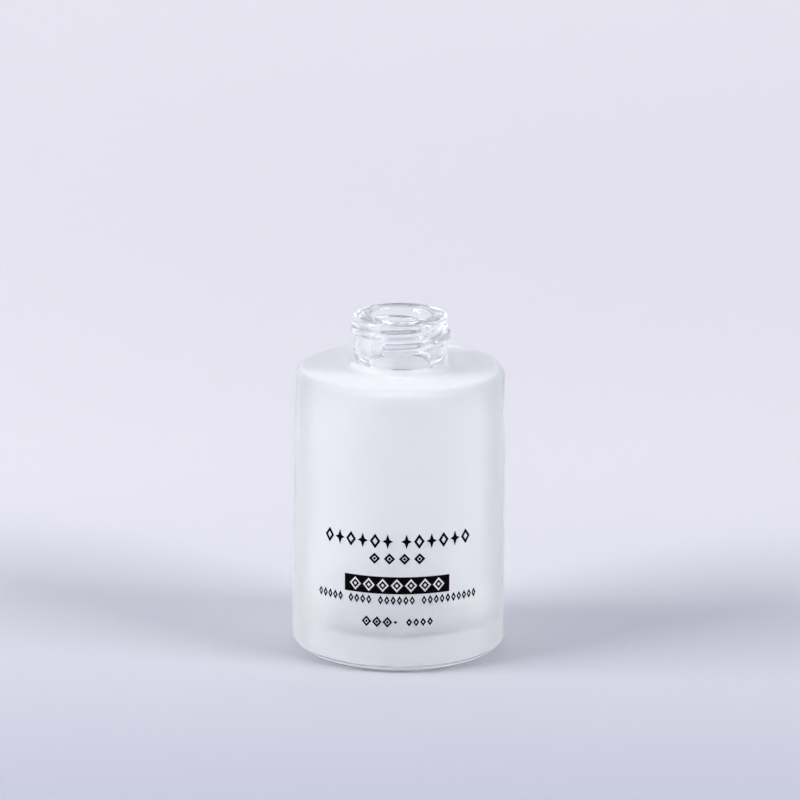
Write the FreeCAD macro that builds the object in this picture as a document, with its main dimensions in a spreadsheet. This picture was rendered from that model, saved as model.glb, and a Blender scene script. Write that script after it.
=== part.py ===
import FreeCAD, Part
import math
import os

import Sketcher

# Open foundation bottle: a moulded glass vessel with a screw neck, a sprayed frost coat
# over its wall and shoulder, and five printed rows of ink on the front of the coat.
# Millimetres and degrees, +Z up, origin at the centre of the foot on the standing surface,
# printed side facing -Y.

# Driving dimensions. Each one becomes a cell of the sheet, under its own name.
SIZES = {
    # glass, outside
    "total_height": 57.65,
    "shoulder_height": 48.6,
    "foot_radius": 17.97,
    "top_radius": 17.5,
    "heel_round": 2.0,
    "shoulder_round": 1.4,
    "pushup_radius": 14.0,
    "pushup_height": 0.9,
    "bearing_round": 0.6,
    # neck finish
    "neck_radius": 7.9,
    "neck_foot_round": 1.2,
    "bore_radius": 5.0,
    "lip_outer_round": 0.7,
    "lip_inner_round": 0.5,
    # glass, inside
    "wall_thickness": 2.15,
    "floor_height": 5.0,
    "ceiling_height": 46.3,
    "floor_round": 3.0,
    "ceiling_round": 3.0,
    "throat_round": 1.5,
    # screw thread, one start, right-hand
    "thread_pitch": 2.5,
    "thread_depth": 0.62,
    "thread_root_half": 1.0,
    "thread_crest_half": 0.34,
    "thread_crest_bulge": 0.12,
    "thread_inset": 0.3,
    "thread_start_angle": -105.0,
    "thread_start_drop": 4.35,
    "thread_turns": 1.135,
    "thread_runout_turns": 0.02,
    # frost coat
    "coat_thickness": 0.08,
    "coat_foot": 1.25,
    "coat_neck_rise": 0.1,
    "coat_backing": 1.0,
    "coat_cut_below": 2.0,
    "coat_cut_beyond": 5.0,
    "coat_cut_within": 1.0,
    # ink
    "ink_thickness": 0.05,
    "ink_film_margin": 0.3,
    "frame_share": 1.3,
    "core_share": 0.3,
    "dot_share": 0.55,
    "stamp_start": 16.0,
    "stamp_reach": 4.0,
    # printed rows: height of the row's middle, half height and half width of one mark
    "heading_level": 23.05,
    "heading_half_height": 1.28,
    "heading_half_width": 0.9,
    "heading_waist": 0.31,
    "heading_stroke": 0.36,
    "heading_step": 6.85,
    "heading_first": 5.05,
    "subheading_level": 20.05,
    "subheading_half_height": 0.98,
    "subheading_half_width": 0.95,
    "subheading_stroke": 0.38,
    "subheading_step": 8.1,
    "band_level": 15.43,
    "band_half_height": 1.47,
    "band_half_width": 8.72,
    "band_stamp_start": 12.0,
    "band_stamp_reach": 8.0,
    "knockout_half_height": 1.18,
    "knockout_half_width": 1.06,
    "knockout_stroke": 0.3,
    "knockout_step": 7.6,
    "product_level": 12.85,
    "product_half_height": 0.8,
    "product_half_width": 0.44,
    "product_stroke": 0.2,
    "product_step": 3.4,
    "product_first": -45.3,
    "product_gap": 3.0,
    "volume_level": 9.05,
    "volume_half_height": 0.95,
    "volume_half_width": 0.82,
    "volume_stroke": 0.3,
    "volume_step": 5.7,
    "volume_first": -16.3,
    "volume_dot_angle": -0.6,
    "volume_fine_half_height": 0.72,
    "volume_fine_half_width": 0.5,
    "volume_fine_stroke": 0.24,
    "volume_fine_step": 3.8,
    "volume_fine_first": 6.7,
}

# The marks of the fine product row stand in groups of these counts.
PRODUCT_GROUPS = (5, 4, 6, 10)
SUBHEADING_MARKS = 4
BAND_MARKS = 7

HORIZONTAL_AXIS = -1
VERTICAL_AXIS = -2
EDGE_START = 1
EDGE_END = 2
ARC_CENTRE = 3
TOLERANCE = 1e-4

doc = FreeCAD.newDocument("foundation_bottle")


class Size:
    """A length or an angle: its number, and the sheet expression that gives that number."""

    def __init__(self, value, text):
        self.value = value
        self.text = text

    def __add__(self, other):
        return Size(self.value + other.value, f"({self.text} + {other.text})")

    def __sub__(self, other):
        return Size(self.value - other.value, f"({self.text} - {other.text})")

    def __mul__(self, other):
        return Size(self.value * other.value, f"({self.text} * {other.text})")

    def __truediv__(self, other):
        return Size(self.value / other.value, f"({self.text} / {other.text})")

    def __neg__(self):
        return Size(-self.value, f"(-1 * {self.text})")


ZERO = Size(0.0, "0")


def constant(number):
    """A plain number, written as a Size so that it can stand in a formula."""
    return Size(float(number), f"({number})")


def cell(name):
    """The driving dimension of that name, bound to its cell of the sheet."""
    return Size(SIZES[name], f"Sizes.{name}")


def make_sheet():
    """Writes every driving dimension to a cell with an alias of its own."""
    sheet = doc.addObject("Spreadsheet::Sheet", "Sizes")
    for row, (name, value) in enumerate(SIZES.items(), start=1):
        sheet.set(f"A{row}", name)
        sheet.set(f"B{row}", str(value))
        sheet.setAlias(f"B{row}", name)
    doc.recompute()


def new_body(label, turn=None):
    """A new body, turned about Z by a bound angle if one is given."""
    body = doc.addObject("PartDesign::Body", label)
    body.Label = label
    if turn is not None and turn.value != 0:
        rotation = FreeCAD.Rotation(FreeCAD.Vector(0, 0, 1), turn.value)
        body.Placement = FreeCAD.Placement(FreeCAD.Vector(0, 0, 0), rotation)
        body.setExpression("Placement.Rotation.Angle", turn.text)
    return body


def origin_part(body, role):
    """One of the body's own origin planes or axes, found by its role."""
    return next(part for part in body.Origin.OriginFeatures if part.Role == role)


def new_sketch(body, name, turn=None, outward=None):
    """A sketch on the body's XZ plane: sketch x is the radius and sketch y is the height.

    The plane may be turned about Z, or moved outward towards -Y, by a bound size.
    """
    sketch = body.newObject("Sketcher::SketchObject", name)
    sketch.AttachmentSupport = [(origin_part(body, "XZ_Plane"), "")]
    sketch.MapMode = "FlatFace"
    if turn is not None:
        rotation = FreeCAD.Rotation(FreeCAD.Vector(0, 1, 0), turn.value)
        sketch.AttachmentOffset = FreeCAD.Placement(FreeCAD.Vector(0, 0, 0), rotation)
        sketch.setExpression("AttachmentOffset.Rotation.Angle", turn.text)
    if outward is not None:
        sketch.setExpression("AttachmentOffset.Base.z", outward.text)
    return sketch


def pin(sketch, edge, point_id, point):
    """Holds a sketch point at its two distances from the origin, bound to the sheet."""
    directions = (("DistanceX", VERTICAL_AXIS, point[0]), ("DistanceY", HORIZONTAL_AXIS, point[1]))
    for kind, axis, size in directions:
        if size.value == 0:
            sketch.addConstraint(Sketcher.Constraint("PointOnObject", edge, point_id, axis))
            continue
        origin = HORIZONTAL_AXIS
        held = Sketcher.Constraint(kind, origin, EDGE_START, edge, point_id, size.value)
        index = sketch.addConstraint(held)
        sketch.setExpression(f"Constraints[{index}]", size.text)


def vector(point):
    """A sketch point as a FreeCAD vector."""
    return FreeCAD.Vector(point[0].value, point[1].value, 0)


def add_polygon(sketch, points):
    """A closed polygon through the points, every corner pinned."""
    first = sketch.GeometryCount
    count = len(points)
    for index in range(count):
        start, end = points[index], points[(index + 1) % count]
        sketch.addGeometry(Part.LineSegment(vector(start), vector(end)))
    for index in range(count):
        follower = first + (index + 1) % count
        joined = Sketcher.Constraint("Coincident", first + index, EDGE_END, follower, EDGE_START)
        sketch.addConstraint(joined)
        pin(sketch, first + index, EDGE_START, points[index])


def add_outline_with_arc(sketch, points, centre):
    """A closed outline whose last edge is an arc from the last point back to the first.

    The arc runs clockwise from the last point, about a centre that is given as a point.
    """
    last = len(points) - 1
    for index in range(last):
        sketch.addGeometry(Part.LineSegment(vector(points[index]), vector(points[index + 1])))
    middle = vector(centre)
    to_first = vector(points[0]) - middle
    to_last = vector(points[last]) - middle
    circle = Part.Circle(middle, FreeCAD.Vector(0, 0, 1), to_first.Length)
    start_angle = math.atan2(to_first.y, to_first.x)
    end_angle = math.atan2(to_last.y, to_last.x)
    arc = sketch.addGeometry(Part.ArcOfCircle(circle, start_angle, end_angle))
    for index in range(last - 1):
        joined = Sketcher.Constraint("Coincident", index, EDGE_END, index + 1, EDGE_START)
        sketch.addConstraint(joined)
    for index in range(last):
        pin(sketch, index, EDGE_START, points[index])
    pin(sketch, last - 1, EDGE_END, points[last])
    joined = Sketcher.Constraint("Coincident", arc, EDGE_START, 0, EDGE_START)
    sketch.addConstraint(joined)
    joined = Sketcher.Constraint("Coincident", last - 1, EDGE_END, arc, EDGE_END)
    sketch.addConstraint(joined)
    if centre[0].value == 0:
        held = Sketcher.Constraint("PointOnObject", arc, ARC_CENTRE, VERTICAL_AXIS)
        sketch.addConstraint(held)
    else:
        held = Sketcher.Constraint(
            "DistanceX", HORIZONTAL_AXIS, EDGE_START, arc, ARC_CENTRE, centre[0].value
        )
        index = sketch.addConstraint(held)
        sketch.setExpression(f"Constraints[{index}]", centre[0].text)


def revolve(body, sketch, kind="PartDesign::Revolution"):
    """A full turn of the sketch about Z, added to the body or cut from it."""
    feature = body.newObject(kind, f"{sketch.Name}_turned")
    feature.Profile = sketch
    feature.ReferenceAxis = (origin_part(body, "Z_Axis"), [""])
    feature.Angle = 360
    doc.recompute()
    return feature


def ring_edge(shape, radius, level):
    """The name of the circular edge of that radius at that height."""
    for number, edge in enumerate(shape.Edges, start=1):
        if edge.Degenerated or not isinstance(edge.Curve, Part.Circle):
            continue
        curve = edge.Curve
        if abs(curve.Radius - radius) < TOLERANCE and abs(curve.Center.z - level) < TOLERANCE:
            return f"Edge{number}"
    raise ValueError(f"no ring of radius {radius} at height {level}")


def round_ring(body, name, ring, radius):
    """A bound fillet on one circular edge of the body's last feature."""
    base = body.Tip
    fillet = body.newObject("PartDesign::Fillet", name)
    fillet.Base = (base, [ring_edge(base.Shape, ring[0].value, ring[1].value)])
    fillet.Radius = radius.value
    fillet.setExpression("Radius", radius.text)
    doc.recompute()
    return fillet


def wall_radius(level, outward=ZERO):
    """Radius of the drafted outer wall at a height, moved outward by a layer's thickness."""
    draft = (cell("foot_radius") - cell("top_radius")) / cell("shoulder_height")
    return cell("foot_radius") - draft * level + outward


# ---------------------------------------------------------------- glass


def thread_profile(body, name, turn, level):
    """Section of the thread ridge on the plane through Z at that angle, crest outward."""
    sketch = new_sketch(body, name, turn=turn)
    root = cell("neck_radius") - cell("thread_inset")
    crest = cell("neck_radius") + cell("thread_depth") - cell("thread_crest_bulge")
    root_half = cell("thread_root_half")
    crest_half = cell("thread_crest_half")
    bulge = cell("thread_crest_bulge")
    crest_radius = (crest_half * crest_half + bulge * bulge) / (constant(2) * bulge)
    points = [
        (crest, level - crest_half),
        (cell("neck_radius"), level - root_half),
        (root, level - root_half),
        (root, level + root_half),
        (cell("neck_radius"), level + root_half),
        (crest, level + crest_half),
    ]
    centre = (crest + bulge - crest_radius, level)
    add_outline_with_arc(sketch, points, centre)
    return sketch


def wind(body, name, sketch, turns, growth=None, downward=False):
    """Winds the ridge section about Z at the thread's pitch, sinking inward by the growth."""
    coil = body.newObject("PartDesign::AdditiveHelix", name)
    coil.Profile = sketch
    coil.ReferenceAxis = (origin_part(body, "Z_Axis"), [""])
    coil.Reversed = downward
    if growth is None:
        coil.Mode = "pitch-turns-angle"
        coil.setExpression("Pitch", cell("thread_pitch").text)
        coil.setExpression("Turns", turns.text)
    else:
        coil.Mode = "height-turns-growth"
        coil.setExpression("Height", (cell("thread_pitch") * turns).text)
        coil.setExpression("Turns", turns.text)
        coil.setExpression("Growth", growth.text)
    doc.recompute()
    return coil


def add_thread(body):
    """One right-hand start, with a short run-out into the neck at each end."""
    start_angle = cell("thread_start_angle")
    start_level = cell("total_height") - cell("thread_start_drop")
    turns = cell("thread_turns")
    end_angle = start_angle + constant(360) * turns
    end_level = start_level + cell("thread_pitch") * turns
    runout = cell("thread_runout_turns")
    sink = -(cell("thread_depth") / runout)
    lower = thread_profile(body, "thread_lower_end", start_angle, start_level)
    wind(body, "thread", lower, turns)
    wind(body, "thread_lower_runout", lower, runout, growth=sink, downward=True)
    upper = thread_profile(body, "thread_upper_end", end_angle, end_level)
    wind(body, "thread_upper_runout", upper, runout, growth=sink)


def make_glass():
    """The moulded vessel: body, shoulder, neck, cavity, thread and domed push-up."""
    body = new_body("glass_bottle")
    wall = cell("wall_thickness")
    foot = cell("foot_radius")
    shoulder = cell("shoulder_height")
    neck = cell("neck_radius")
    bore = cell("bore_radius")
    top = cell("total_height")
    ceiling = cell("ceiling_height")
    floor = cell("floor_height")
    pushup_radius = cell("pushup_radius")
    pushup = cell("pushup_height")
    inner_top = wall_radius(ceiling) - wall
    inner_foot = wall_radius(floor) - wall
    points = [
        (pushup_radius, ZERO),
        (foot, ZERO),
        (cell("top_radius"), shoulder),
        (neck, shoulder),
        (neck, top),
        (bore, top),
        (bore, ceiling),
        (inner_top, ceiling),
        (inner_foot, floor),
        (ZERO, floor),
        (ZERO, pushup),
    ]
    two = constant(2)
    dome_radius = (pushup_radius * pushup_radius + pushup * pushup) / (two * pushup)
    section = new_sketch(body, "glass_section")
    add_outline_with_arc(section, points, (ZERO, pushup - dome_radius))
    revolve(body, section)
    rounds = [
        ("heel", (foot, ZERO), "heel_round"),
        ("bearing", (pushup_radius, ZERO), "bearing_round"),
        ("shoulder", (cell("top_radius"), shoulder), "shoulder_round"),
        ("neck_foot", (neck, shoulder), "neck_foot_round"),
        ("lip_outer", (neck, top), "lip_outer_round"),
        ("lip_inner", (bore, top), "lip_inner_round"),
        ("throat", (bore, ceiling), "throat_round"),
        ("ceiling", (inner_top, ceiling), "ceiling_round"),
        ("floor", (inner_foot, floor), "floor_round"),
    ]
    for name, ring, radius in rounds:
        round_ring(body, f"{name}_fillet", ring, cell(radius))
    add_thread(body)
    return body


# ---------------------------------------------------------------- frost coat


def make_coat(glass):
    """The sprayed layer: a grown copy of wall, shoulder and neck foot, less the glass under it.

    The copy is hollowed to a backing inside the glass wall and cut off above the heel.
    """
    grown = new_body("coat_blank")
    layer = cell("coat_thickness")
    backing = cell("coat_backing")
    inner = cell("neck_radius") - backing
    top = cell("shoulder_height") + layer
    rim = cell("shoulder_height") + cell("neck_foot_round") + cell("coat_neck_rise")
    low = -layer
    section = new_sketch(grown, "coat_section")
    foot_corner = (wall_radius(low, layer), low)
    top_corner = (wall_radius(top, layer), top)
    neck_corner = (cell("neck_radius") + layer, top)
    outer = [foot_corner, top_corner, neck_corner, (neck_corner[0], rim)]
    add_polygon(section, [(inner, low), *outer, (inner, rim)])
    revolve(grown, section)
    round_ring(grown, "coat_heel_fillet", foot_corner, cell("heel_round") + layer)
    round_ring(grown, "coat_shoulder_fillet", top_corner, cell("shoulder_round") + layer)
    round_ring(grown, "coat_neck_fillet", neck_corner, cell("neck_foot_round") - layer)
    bare = new_sketch(grown, "bare_section")
    limit = cell("coat_foot")
    below = -cell("coat_cut_below")
    beyond = cell("foot_radius") + cell("coat_cut_beyond")
    within = inner - cell("coat_cut_within")
    core = cell("top_radius") - backing
    core_top = cell("shoulder_height") - backing
    corners = [
        (within, below),
        (beyond, below),
        (beyond, limit),
        (core, limit),
        (core, core_top),
        (within, core_top),
    ]
    add_polygon(bare, corners)
    revolve(grown, bare, "PartDesign::Groove")
    coat = doc.addObject("Part::Cut", "frost_coating")
    coat.Label = "frost_coating"
    coat.Base = grown
    coat.Tool = glass
    doc.recompute()
    return coat


# ---------------------------------------------------------------- printed rows


def lozenge(level, half_width, half_height):
    """The four corners of an upright lozenge."""
    return [
        (half_width, level),
        (ZERO, level + half_height),
        (-half_width, level),
        (ZERO, level - half_height),
    ]


def framed_lozenge(level, half_width, half_height, stroke):
    """An open lozenge: outer and inner corners, the inner ones in by about the stroke."""
    slant = half_height / half_width
    inner_width = half_width - stroke * cell("frame_share")
    return [
        lozenge(level, half_width, half_height),
        lozenge(level, inner_width, inner_width * slant),
    ]


def cored_lozenge(level, half_width, half_height, stroke):
    """An open lozenge with a small solid lozenge in its middle."""
    core = cell("core_share")
    return framed_lozenge(level, half_width, half_height, stroke) + [
        lozenge(level, half_width * core, half_height * core)
    ]


def star(level, half_width, half_height, waist):
    """A four-pointed star with its waist corners near the middle."""
    return [
        [
            (half_width, level),
            (waist, level + waist),
            (ZERO, level + half_height),
            (-waist, level + waist),
            (-half_width, level),
            (-waist, level - waist),
            (ZERO, level - half_height),
            (waist, level - waist),
        ]
    ]


def stamps(name, outlines, first, step, count, start="stamp_start", reach="stamp_reach"):
    """Blocks with the outline of one mark, repeated about Z from the first angle.

    Angles are measured from the middle of the front, positive towards +X.
    """
    body = new_body(name, turn=first)
    sketch = new_sketch(body, f"{name}_outline", outward=cell(start))
    for outline in outlines:
        add_polygon(sketch, outline)
    block = body.newObject("PartDesign::Pad", f"{name}_block")
    block.Profile = sketch
    block.setExpression("Length", cell(reach).text)
    doc.recompute()
    if count > 1:
        array = body.newObject("PartDesign::PolarPattern", f"{name}_array")
        array.Originals = [block]
        array.Axis = (origin_part(body, "Z_Axis"), [""])
        array.Occurrences = count
        array.setExpression("Angle", (step * constant(count - 1)).text)
        body.Tip = array
        doc.recompute()
    return body


def centred_stamps(name, outlines, step, count):
    """A row of stamps centred on the middle of the front."""
    return stamps(name, outlines, -(step * constant((count - 1) / 2)), step, count)


def ink_film(name, level, half_height):
    """A thin ring of ink on the coat, as high as one printed row and a little over."""
    body = new_body(name)
    sketch = new_sketch(body, f"{name}_section")
    margin = cell("ink_film_margin")
    low = level - half_height - margin
    high = level + half_height + margin
    back = cell("coat_thickness")
    front = back + cell("ink_thickness")
    corners = [
        (wall_radius(low, back), low),
        (wall_radius(low, front), low),
        (wall_radius(high, front), high),
        (wall_radius(high, back), high),
    ]
    add_polygon(sketch, corners)
    revolve(body, sketch)
    return body


def gather(name, bodies):
    """Several stamp bodies as one compound."""
    group = doc.addObject("Part::Compound", name)
    group.Links = bodies
    doc.recompute()
    return group


def print_row(label, stamp_bodies, film):
    """The printed row: what the stamps leave of the ink film."""
    row = doc.addObject("Part::Common", label)
    row.Label = label
    row.Base = gather(f"{label}_stamps", stamp_bodies)
    row.Tool = film
    doc.recompute()
    return row


def make_heading():
    """Twelve large marks in two halves, lozenges and stars by turns."""
    level = cell("heading_level")
    width = cell("heading_half_width")
    height = cell("heading_half_height")
    step = cell("heading_step")
    near = cell("heading_first")
    far = near + step * constant(5)
    double = step * constant(2)
    open_mark = framed_lozenge(level, width, height, cell("heading_stroke"))
    star_mark = star(level, width, height, cell("heading_waist"))
    bodies = [
        stamps("heading_left_lozenges", open_mark, -far, double, 3),
        stamps("heading_left_stars", star_mark, step - far, double, 3),
        stamps("heading_right_stars", star_mark, near, double, 3),
        stamps("heading_right_lozenges", open_mark, near + step, double, 3),
    ]
    return print_row("ink_heading", bodies, ink_film("heading_film", level, height))


def make_subheading():
    """Four small cored lozenges."""
    level = cell("subheading_level")
    height = cell("subheading_half_height")
    step = cell("subheading_step")
    width = cell("subheading_half_width")
    mark = cored_lozenge(level, width, height, cell("subheading_stroke"))
    bodies = [centred_stamps("subheading_marks", mark, step, SUBHEADING_MARKS)]
    return print_row("ink_subheading", bodies, ink_film("subheading_film", level, height))


def make_band():
    """A solid band with seven cored lozenges left open in it."""
    level = cell("band_level")
    height = cell("band_half_height")
    width = cell("band_half_width")
    edges = [
        (width, level - height),
        (width, level + height),
        (-width, level + height),
        (-width, level - height),
    ]
    block = stamps(
        "band_block", [edges], ZERO, ZERO, 1, start="band_stamp_start", reach="band_stamp_reach"
    )
    solid_band = doc.addObject("Part::Common", "solid_band")
    solid_band.Base = block
    solid_band.Tool = ink_film("band_film", level, height)
    step = cell("knockout_step")
    mark = cored_lozenge(
        level, cell("knockout_half_width"), cell("knockout_half_height"), cell("knockout_stroke")
    )
    band = doc.addObject("Part::Cut", "ink_band")
    band.Label = "ink_band"
    band.Base = solid_band
    band.Tool = centred_stamps("band_knockouts", mark, step, BAND_MARKS)
    doc.recompute()
    return band


def make_product_line():
    """A fine row of small open lozenges in four groups."""
    level = cell("product_level")
    height = cell("product_half_height")
    step = cell("product_step")
    mark = framed_lozenge(level, cell("product_half_width"), height, cell("product_stroke"))
    first = cell("product_first")
    bodies = []
    for number, count in enumerate(PRODUCT_GROUPS, start=1):
        bodies.append(stamps(f"product_group_{number}", mark, first, step, count))
        first = first + step * constant(count) + cell("product_gap")
    return print_row("ink_product_line", bodies, ink_film("product_film", level, height))


def make_volume_line():
    """Three cored lozenges, a dot and four fine lozenges."""
    level = cell("volume_level")
    height = cell("volume_half_height")
    width = cell("volume_half_width")
    step = cell("volume_step")
    first = cell("volume_first")
    dot_size = cell("volume_fine_half_width") * cell("dot_share")
    cored = cored_lozenge(level, width, height, cell("volume_stroke"))
    fine = framed_lozenge(
        level,
        cell("volume_fine_half_width"),
        cell("volume_fine_half_height"),
        cell("volume_fine_stroke"),
    )
    dot = [lozenge(level, dot_size, dot_size)]
    bodies = [
        stamps("volume_cored", cored, first, step, 3),
        stamps("volume_dot", dot, cell("volume_dot_angle"), ZERO, 1),
        stamps("volume_fine", fine, cell("volume_fine_first"), cell("volume_fine_step"), 4),
    ]
    return print_row("ink_volume_line", bodies, ink_film("volume_film", level, height))


def check(nodes):
    """Stops if any object failed, or if a node is empty or not valid."""
    for item in doc.Objects:
        if "Invalid" in item.State or "Error" in item.State:
            raise RuntimeError(f"{item.Name} failed: {item.State}")
    for node in nodes:
        if node.Shape.isNull() or not node.Shape.isValid() or not node.Shape.Solids:
            raise RuntimeError(f"{node.Label} has no valid solid")


def main():
    """Builds every node and writes it to its own file."""
    make_sheet()
    glass = make_glass()
    nodes = [
        glass,
        make_coat(glass),
        make_heading(),
        make_subheading(),
        make_band(),
        make_product_line(),
        make_volume_line(),
    ]
    doc.recompute()
    check(nodes)
    os.makedirs("parts", exist_ok=True)
    for node in nodes:
        node.Shape.exportStep(f"parts/{node.Label}.step")
        count = len(node.Shape.Solids)
        print(f"{node.Label}: {count} solid(s), {node.Shape.Volume:.3f} mm3")


main()
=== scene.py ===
import math

import bpy
import numpy as np
from mathutils import Matrix, Vector


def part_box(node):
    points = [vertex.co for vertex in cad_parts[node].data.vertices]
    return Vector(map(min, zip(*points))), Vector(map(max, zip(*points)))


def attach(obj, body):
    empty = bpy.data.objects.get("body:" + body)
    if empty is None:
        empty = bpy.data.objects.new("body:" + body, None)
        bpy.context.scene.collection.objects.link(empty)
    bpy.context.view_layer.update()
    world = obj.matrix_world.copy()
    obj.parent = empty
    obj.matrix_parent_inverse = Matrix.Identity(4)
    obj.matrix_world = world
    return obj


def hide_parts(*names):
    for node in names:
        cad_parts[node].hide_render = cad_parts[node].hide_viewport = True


# Looks of the open foundation bottle. Metres, in the frame of the CAD model: +Z up, origin at
# the centre of the foot, printed side facing -Y. Sizes of the bottle are written in
# millimetres and scaled by MM, as in the CAD source.

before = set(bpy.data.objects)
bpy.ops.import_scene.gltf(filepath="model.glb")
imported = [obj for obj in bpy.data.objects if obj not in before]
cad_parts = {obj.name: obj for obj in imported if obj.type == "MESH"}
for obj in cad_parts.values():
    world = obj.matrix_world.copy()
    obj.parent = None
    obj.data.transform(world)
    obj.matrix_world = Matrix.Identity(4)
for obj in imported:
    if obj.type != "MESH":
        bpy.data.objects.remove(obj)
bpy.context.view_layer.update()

MM = 0.001
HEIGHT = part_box("glass_bottle")[1].z / MM

# ---------------------------------------------------------------- driving dimensions (mm)

SHOULDER_HEIGHT = 48.6
FOOT_RADIUS = 17.97
TOP_RADIUS = 17.5
HEEL_ROUND = 2.0
SHOULDER_ROUND = 1.4
PUSHUP_RADIUS = 14.0
PUSHUP_HEIGHT = 0.9
BEARING_ROUND = 0.6
NECK_RADIUS = 7.9
NECK_FOOT_ROUND = 1.2
BORE_RADIUS = 5.0
LIP_OUTER_ROUND = 0.7
LIP_INNER_ROUND = 0.5
WALL = 2.15
FLOOR_HEIGHT = 5.0
CEILING_HEIGHT = 46.3
INNER_CORNER_ROUND = 3.0
THROAT_ROUND = 1.5

THREAD_PITCH = 2.5
THREAD_DEPTH = 0.62
THREAD_ROOT_HALF = 1.05
THREAD_CREST_HALF = 0.12
THREAD_START_ANGLE = -105.0
THREAD_START_DROP = 4.35
THREAD_TURNS = 1.135
THREAD_RUNOUT_TURNS = 0.02

COAT_FOOT = 1.25
COAT_NECK_RISE = 0.1
COAT_THICKNESS = 0.08
COAT_GAP = 0.012

GLASS_SIDES = 360
COAT_SIDES = 256

ROUND_STEPS = 14
DOME_STEPS = 10
WALL_STEP = 1.5
THREAD_ROW = 0.055
NECK_SEARCH = 0.01


# ---------------------------------------------------------------- outlines


def wall_radius(level):
    """Radius of the drafted outer wall at a height."""
    return FOOT_RADIUS - (FOOT_RADIUS - TOP_RADIUS) * level / SHOULDER_HEIGHT


def rounded_outline(corners):
    """An open outline through (radius, height, round) corners, each corner made an arc."""
    points = []
    for index, (x, z, size) in enumerate(corners):
        corner = Vector((x, z))
        if size == 0 or index in (0, len(corners) - 1):
            points.append(corner)
            continue
        back = (Vector(corners[index - 1][:2]) - corner).normalized()
        ahead = (Vector(corners[index + 1][:2]) - corner).normalized()
        half = back.angle(ahead) / 2
        reach = size / math.tan(half)
        centre = corner + (back + ahead).normalized() * (size / math.sin(half))
        first = corner + back * reach - centre
        turn = first.angle_signed(corner + ahead * reach - centre)
        for step in range(ROUND_STEPS + 1):
            arm = first.copy()
            arm.rotate(Matrix.Rotation(-turn * step / ROUND_STEPS, 2))
            points.append(centre + arm)
    return points


def divided(points, step):
    """The outline with its long stretches divided, so that no edge is over the step."""
    result = [points[0]]
    for start, end in zip(points, points[1:]):
        parts = max(1, math.ceil((end - start).length / step))
        result.extend(start.lerp(end, part / parts) for part in range(1, parts + 1))
    return result


# ---------------------------------------------------------------- meshes


def lathe(name, outline, sides, shift=None, closed=False):
    """A smooth mesh turned from an outline; shift(angle, radius, height) moves the radius.

    An open outline starts and ends on the axis, and a closed one joins up with itself.
    """
    rings = outline if closed else outline[1:-1]
    angles = np.arange(sides) * (2 * math.pi / sides)
    radius = np.array([[point.x] for point in rings]) * np.ones(sides)
    height = np.array([[point.y] for point in rings]) * np.ones(sides)
    if shift is not None:
        radius = radius + shift(angles[None, :], radius, height)
    places = np.stack([radius * np.cos(angles), radius * np.sin(angles), height], axis=-1)
    verts = [tuple(place) for place in (places.reshape(-1, 3) * MM)]
    faces = []
    count = len(rings)
    for ring in range(count if closed else count - 1):
        low = ring * sides
        high = (ring + 1) % count * sides
        for side in range(sides):
            after = (side + 1) % sides
            faces.append((low + side, low + after, high + after, high + side))
    if not closed:
        for pole, ring in ((outline[0], 0), (outline[-1], count - 1)):
            tip = len(verts)
            verts.append((0.0, 0.0, pole.y * MM))
            base = ring * sides
            for side in range(sides):
                after = (side + 1) % sides
                edge = (base + side, base + after)
                faces.append((tip, *reversed(edge)) if ring == 0 else (tip, *edge))
    mesh = bpy.data.meshes.new(name)
    mesh.from_pydata(verts, [], faces)
    mesh.validate()
    mesh.shade_smooth()
    piece = bpy.data.objects.new(name, mesh)
    bpy.context.scene.collection.objects.link(piece)
    return piece


def smooth_step(value):
    """0 to 1 with level ends."""
    value = np.clip(value, 0, 1)
    return value * value * (3 - 2 * value)


def thread_ridge(angles, radius, height):
    """How far the screw thread stands out of the neck wall at each place."""
    start = math.radians(THREAD_START_ANGLE)
    low = HEIGHT - THREAD_START_DROP
    ridge = np.zeros_like(radius)
    full = THREAD_TURNS * 2 * math.pi
    runout = THREAD_RUNOUT_TURNS * 2 * math.pi
    for lap in range(-1, 3):
        along = angles - start + lap * 2 * math.pi
        middle = low + THREAD_PITCH * along / (2 * math.pi)
        across = np.abs(height - middle)
        flank = (THREAD_ROOT_HALF - across) / (THREAD_ROOT_HALF - THREAD_CREST_HALF)
        rise = smooth_step((along + runout) / runout)
        fall = smooth_step((full + runout - along) / runout)
        ridge = np.maximum(ridge, THREAD_DEPTH * smooth_step(flank) * rise * fall)
    on_wall = radius > NECK_RADIUS - NECK_SEARCH
    above = height > SHOULDER_HEIGHT + NECK_FOOT_ROUND
    below = height < HEIGHT - LIP_OUTER_ROUND * 0.5
    return np.where(on_wall & above & below, ridge, 0)


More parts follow.
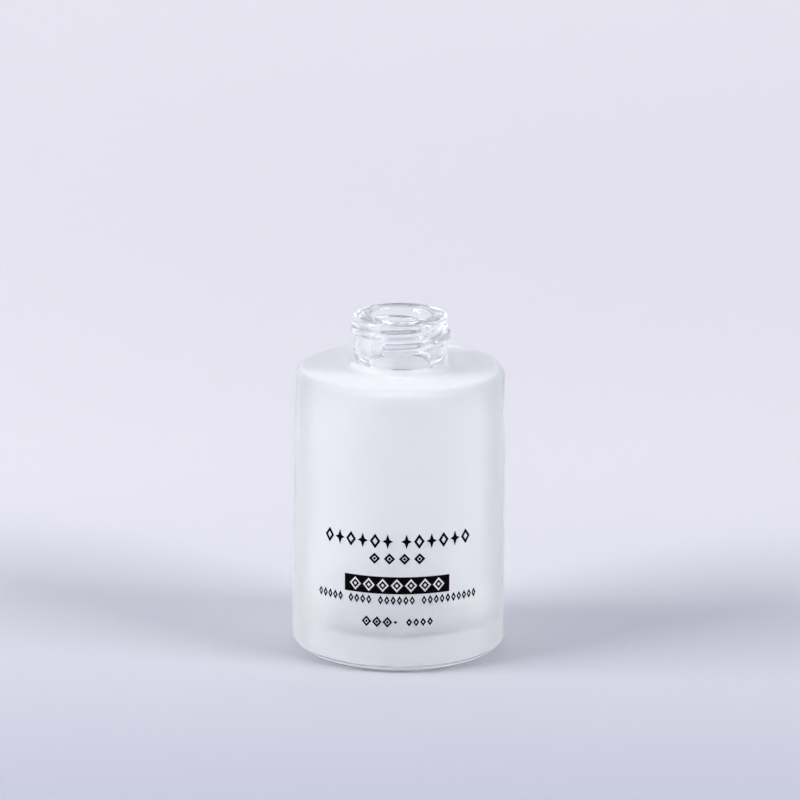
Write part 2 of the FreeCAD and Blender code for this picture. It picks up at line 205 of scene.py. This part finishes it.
def make_glass():
    """The moulded vessel, outside and inside, as one closed surface."""
    ceiling_radius = wall_radius(CEILING_HEIGHT) - WALL
    floor_radius = wall_radius(FLOOR_HEIGHT) - WALL
    dome_radius = (PUSHUP_RADIUS**2 + PUSHUP_HEIGHT**2) / (2 * PUSHUP_HEIGHT)
    dome = []
    for step in range(DOME_STEPS):
        x = PUSHUP_RADIUS * step / DOME_STEPS
        z = PUSHUP_HEIGHT - dome_radius + math.sqrt(dome_radius**2 - x * x)
        dome.append(Vector((x, z)))
    outside = rounded_outline(
        [
            (dome[-1].x, dome[-1].y, 0),
            (PUSHUP_RADIUS, 0, BEARING_ROUND),
            (FOOT_RADIUS, 0, HEEL_ROUND),
            (TOP_RADIUS, SHOULDER_HEIGHT, SHOULDER_ROUND),
            (NECK_RADIUS, SHOULDER_HEIGHT, NECK_FOOT_ROUND),
            (NECK_RADIUS, HEIGHT, LIP_OUTER_ROUND),
            (BORE_RADIUS, HEIGHT, LIP_INNER_ROUND),
            (BORE_RADIUS, CEILING_HEIGHT, THROAT_ROUND),
            (ceiling_radius, CEILING_HEIGHT, INNER_CORNER_ROUND),
            (floor_radius, FLOOR_HEIGHT, INNER_CORNER_ROUND),
            (0, FLOOR_HEIGHT, 0),
        ]
    )
    outline = divided(dome[:-1] + outside, WALL_STEP)
    fine = []
    for start, end in zip(outline, outline[1:]):
        fine.append(start)
        off_wall = max(abs(start.x - NECK_RADIUS), abs(end.x - NECK_RADIUS))
        if off_wall < NECK_SEARCH and end.y > start.y > SHOULDER_HEIGHT:
            parts = max(1, round((end.y - start.y) / THREAD_ROW))
            fine.extend(start.lerp(end, part / parts) for part in range(1, parts))
    fine.append(outline[-1])
    return lathe("bottle_glass", fine, GLASS_SIDES, shift=thread_ridge)


def coat_side(offset):
    """The outline of the coat at that distance from the glass, from heel to neck foot."""
    top = SHOULDER_HEIGHT + offset
    neck = NECK_RADIUS + offset
    corners = [
        (neck, -offset, 0),
        (wall_radius(-offset) + offset, -offset, HEEL_ROUND + offset),
        (wall_radius(top) + offset, top, SHOULDER_ROUND + offset),
        (neck, top, NECK_FOOT_ROUND - offset),
        (neck, SHOULDER_HEIGHT + NECK_FOOT_ROUND + COAT_NECK_RISE, 0),
    ]
    whole = divided(rounded_outline(corners), WALL_STEP)
    return [point for point in whole if point.y >= COAT_FOOT]


def make_coat():
    """The sprayed frost layer as a thin closed shell round the glass."""
    outline = coat_side(COAT_THICKNESS) + coat_side(COAT_GAP)[::-1]
    return lathe("frost_skin", outline, COAT_SIDES, closed=True)


# ---------------------------------------------------------------- materials

# Paper colours: the pale tone is the paper, and the deep tone is painted shade that darkens
# the floor toward the front, in place of light falling off.
PAPER_PALE = (0.684, 0.655, 0.672, 1)
PAPER_PAINTED_SHADE = (0.385, 0.39, 0.465, 1)
PAPER_PALE_AT = 0.13
PAPER_PAINTED_SHADE_AT = -0.19


def new_material(name):
    """A material with one Principled shader, and that shader."""
    material = bpy.data.materials.new(name)
    material.use_nodes = True
    return material, material.node_tree.nodes["Principled BSDF"]


def bump_from(material, shader, height_socket, strength, distance):
    """Drives the shader's normal from a height."""
    bump = material.node_tree.nodes.new("ShaderNodeBump")
    bump.inputs["Strength"].default_value = strength
    bump.inputs["Distance"].default_value = distance
    material.node_tree.links.new(height_socket, bump.inputs["Height"])
    material.node_tree.links.new(bump.outputs["Normal"], shader.inputs["Normal"])


def tone_along_y(tree, coordinate, low_at, low_tone, high_at, high_tone):
    """A colour that eases from one tone to another along Y of the named coordinate."""
    place = tree.nodes.new("ShaderNodeTexCoord")
    split = tree.nodes.new("ShaderNodeSeparateXYZ")
    ease = tree.nodes.new("ShaderNodeMapRange")
    ease.interpolation_type = "SMOOTHSTEP"
    ease.inputs["From Min"].default_value = low_at
    ease.inputs["From Max"].default_value = high_at
    tone = tree.nodes.new("ShaderNodeMix")
    tone.data_type = "RGBA"
    tone.inputs["A"].default_value = low_tone
    tone.inputs["B"].default_value = high_tone
    tree.links.new(place.outputs[coordinate], split.inputs["Vector"])
    tree.links.new(split.outputs["Y"], ease.inputs["Value"])
    tree.links.new(ease.outputs["Result"], tone.inputs["Factor"])
    return tone.outputs["Result"]


def noise(material, scale, detail):
    """A noise texture in object space."""
    nodes = material.node_tree.nodes
    links = material.node_tree.links
    place = nodes.new("ShaderNodeTexCoord")
    texture = nodes.new("ShaderNodeTexNoise")
    texture.inputs["Scale"].default_value = scale
    texture.inputs["Detail"].default_value = detail
    links.new(place.outputs["Object"], texture.inputs["Vector"])
    return texture.outputs["Fac"]


def clear_glass():
    """Flint glass with the slow ripple of a moulded surface."""
    material, shader = new_material("clear_flint_glass")
    shader.inputs["Base Color"].default_value = (0.998, 1.0, 0.998, 1)
    shader.inputs["Roughness"].default_value = 0.0
    shader.inputs["IOR"].default_value = 1.44
    shader.inputs["Transmission Weight"].default_value = 1.0
    ripple = noise(material, scale=260.0, detail=1.0)
    bump_from(material, shader, ripple, strength=0.12, distance=0.0004)
    return material


def frost():
    """The matt sprayed layer: rough and milky, with a fine grain."""
    material, shader = new_material("sprayed_frost")
    shader.inputs["Base Color"].default_value = (0.997, 0.999, 0.992, 1)
    shader.inputs["Roughness"].default_value = 0.78
    shader.inputs["IOR"].default_value = 1.2
    shader.inputs["Transmission Weight"].default_value = 0.86
    shader.inputs["Sheen Weight"].default_value = 0.35
    shader.inputs["Sheen Roughness"].default_value = 0.5
    grain = noise(material, scale=9000.0, detail=4.0)
    bump_from(material, shader, grain, strength=0.25, distance=0.00004)
    return material


def ink():
    """Black screen-print ink, close to matt, with a little texture."""
    material, shader = new_material("black_print_ink")
    shader.inputs["Base Color"].default_value = (0.001, 0.001, 0.0015, 1)
    shader.inputs["Roughness"].default_value = 0.7
    shader.inputs["Specular IOR Level"].default_value = 0.03
    tooth = noise(material, scale=6000.0, detail=3.0)
    bump_from(material, shader, tooth, strength=0.2, distance=0.00003)
    return material


def studio_paper():
    """Pale lavender paper of the floor and backdrop, with painted shade that darkens it
    before the bottle, standing in for light falling off toward the camera.
    """
    material, shader = new_material("studio_paper")
    tree = material.node_tree
    tone = tone_along_y(tree, "Object", PAPER_PAINTED_SHADE_AT, PAPER_PAINTED_SHADE, PAPER_PALE_AT, PAPER_PALE)
    tree.links.new(tone, shader.inputs["Base Color"])
    shader.inputs["Roughness"].default_value = 0.9
    shader.inputs["Specular IOR Level"].default_value = 0.1
    return material


# ---------------------------------------------------------------- bottle

glass = make_glass()
glass.data.materials.append(clear_glass())
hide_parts("glass_bottle")
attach(glass, "root")

coat = make_coat()
coat.data.materials.append(frost())
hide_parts("frost_coating")
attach(coat, "root")

ink_material = ink()
for node_name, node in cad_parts.items():
    if node_name.startswith("ink_"):
        for material_slot in node.material_slots:
            material_slot.material = ink_material

# ---------------------------------------------------------------- studio

# Colours of the room's light, and where along Y they hold.
AIR_DIM = (0.04, 0.09, 0.205, 1)
AIR_BRIGHT = (0.56, 0.61, 0.73, 1)
AIR_DIM_AT = -0.6
AIR_BRIGHT_AT = 0.55

# The floor bowl, in metres.
FLOOR_RADIUS = 1.6
COVE_ROUND = 0.9
COVE_HEIGHT = 0.95
COVE_STEPS = 24
FLOOR_CORE = 0.2
FLOOR_DROP = 0.00004
FLOOR_SIDES = 96


def make_floor():
    """A round floor that curves up into a wall all round."""
    flat = FLOOR_RADIUS - COVE_ROUND
    points = [Vector((FLOOR_CORE, -FLOOR_DROP)), Vector((flat, -FLOOR_DROP))]
    for step in range(1, COVE_STEPS + 1):
        angle = math.radians(90 * step / COVE_STEPS)
        rise = COVE_ROUND - COVE_ROUND * math.cos(angle) - FLOOR_DROP
        points.append(Vector((flat + COVE_ROUND * math.sin(angle), rise)))
    points.append(Vector((FLOOR_RADIUS, COVE_HEIGHT)))
    verts = []
    for point in points:
        for side in range(FLOOR_SIDES):
            angle = 2 * math.pi * side / FLOOR_SIDES
            verts.append((point.x * math.cos(angle), point.x * math.sin(angle), point.y))
    faces = [tuple(range(FLOOR_SIDES))]
    for ring in range(len(points) - 1):
        low = ring * FLOOR_SIDES
        high = low + FLOOR_SIDES
        for side in range(FLOOR_SIDES):
            after = (side + 1) % FLOOR_SIDES
            faces.append((low + side, high + side, high + after, low + after))
    mesh = bpy.data.meshes.new("studio_floor")
    mesh.from_pydata(verts, [], faces)
    mesh.shade_smooth()
    floor = bpy.data.objects.new("studio_floor", mesh)
    bpy.context.scene.collection.objects.link(floor)
    floor.data.materials.append(studio_paper())


make_floor()

TARGET = Vector((0, 0, 0.0426))


def direction(azimuth, elevation):
    """Unit vector from the bottle; azimuth 0 is the printed side and + is to its right."""
    a, e = math.radians(azimuth), math.radians(elevation)
    return Vector((math.sin(a) * math.cos(e), -math.cos(a) * math.cos(e), math.sin(e)))


def soft_light(name, place, aim, width, height, power):
    """A rectangular soft box at a place, facing its aim."""
    data = bpy.data.lights.new(name, "AREA")
    data.shape = "RECTANGLE"
    data.size = width
    data.size_y = height
    data.energy = power
    light = bpy.data.objects.new(name, data)
    bpy.context.scene.collection.objects.link(light)
    light.location = place
    light.rotation_mode = "QUATERNION"
    light.rotation_quaternion = (place - aim).to_track_quat("Z", "Y")
    light.visible_camera = False
    return data


# Name, place, aim, width and height in metres, power in watts.
SOFT_LIGHTS = [
    ("left_softbox", TARGET + direction(-72, 26) * 1.1, TARGET, 0.67, 0.60, 14.5),
    ("right_softbox", TARGET + direction(67, 25) * 1.2, TARGET, 0.62, 0.62, 13.3),
    ("front_fill", TARGET + direction(10, 8) * 1.3, TARGET, 0.9, 0.5, 1.2),
    ("backdrop_light", Vector((0, 0.8, 0.95)), Vector((0, 0.8, 0)), 1.4, 0.5, 1.7),
]
BACKDROP_SPREAD = math.radians(80)

lights = {light[0]: soft_light(*light) for light in SOFT_LIGHTS}
lights["backdrop_light"].spread = BACKDROP_SPREAD


def studio_air():
    """Light of the room: dim and blue before the bottle, bright over and behind it."""
    world = bpy.data.worlds.new("studio_air")
    bpy.context.scene.world = world
    world.use_nodes = True
    tree = world.node_tree
    tone = tone_along_y(tree, "Generated", AIR_DIM_AT, AIR_DIM, AIR_BRIGHT_AT, AIR_BRIGHT)
    tree.links.new(tone, tree.nodes["Background"].inputs["Color"])


studio_air()

# ---------------------------------------------------------------- camera

CAMERA_AZIMUTH = 0.93
CAMERA_ELEVATION = 15.3
CAMERA_DISTANCE = 0.8423
CAMERA_ROLL = 0.44
LENS = 225.0


def make_camera():
    """A long lens a little above the bottle, with the small tilt of the original view."""
    data = bpy.data.cameras.new("camera")
    data.lens = LENS
    data.sensor_width = 36.0
    data.clip_start = 0.01
    data.clip_end = 20.0
    camera = bpy.data.objects.new("camera", data)
    bpy.context.scene.collection.objects.link(camera)
    away = direction(CAMERA_AZIMUTH, CAMERA_ELEVATION)
    camera.location = TARGET + away * CAMERA_DISTANCE
    level = away.to_track_quat("Z", "Y").to_matrix()
    roll = Matrix.Rotation(math.radians(CAMERA_ROLL), 3, "Z")
    camera.rotation_mode = "QUATERNION"
    camera.rotation_quaternion = (level @ roll).to_quaternion()
    bpy.context.scene.camera = camera


make_camera()

scene = bpy.context.scene
scene.view_settings.view_transform = "Standard"
scene.cycles.max_bounces = 32
scene.cycles.transmission_bounces = 32
scene.cycles.glossy_bounces = 16
scene.cycles.diffuse_bounces = 12
scene.cycles.sample_clamp_indirect = 60
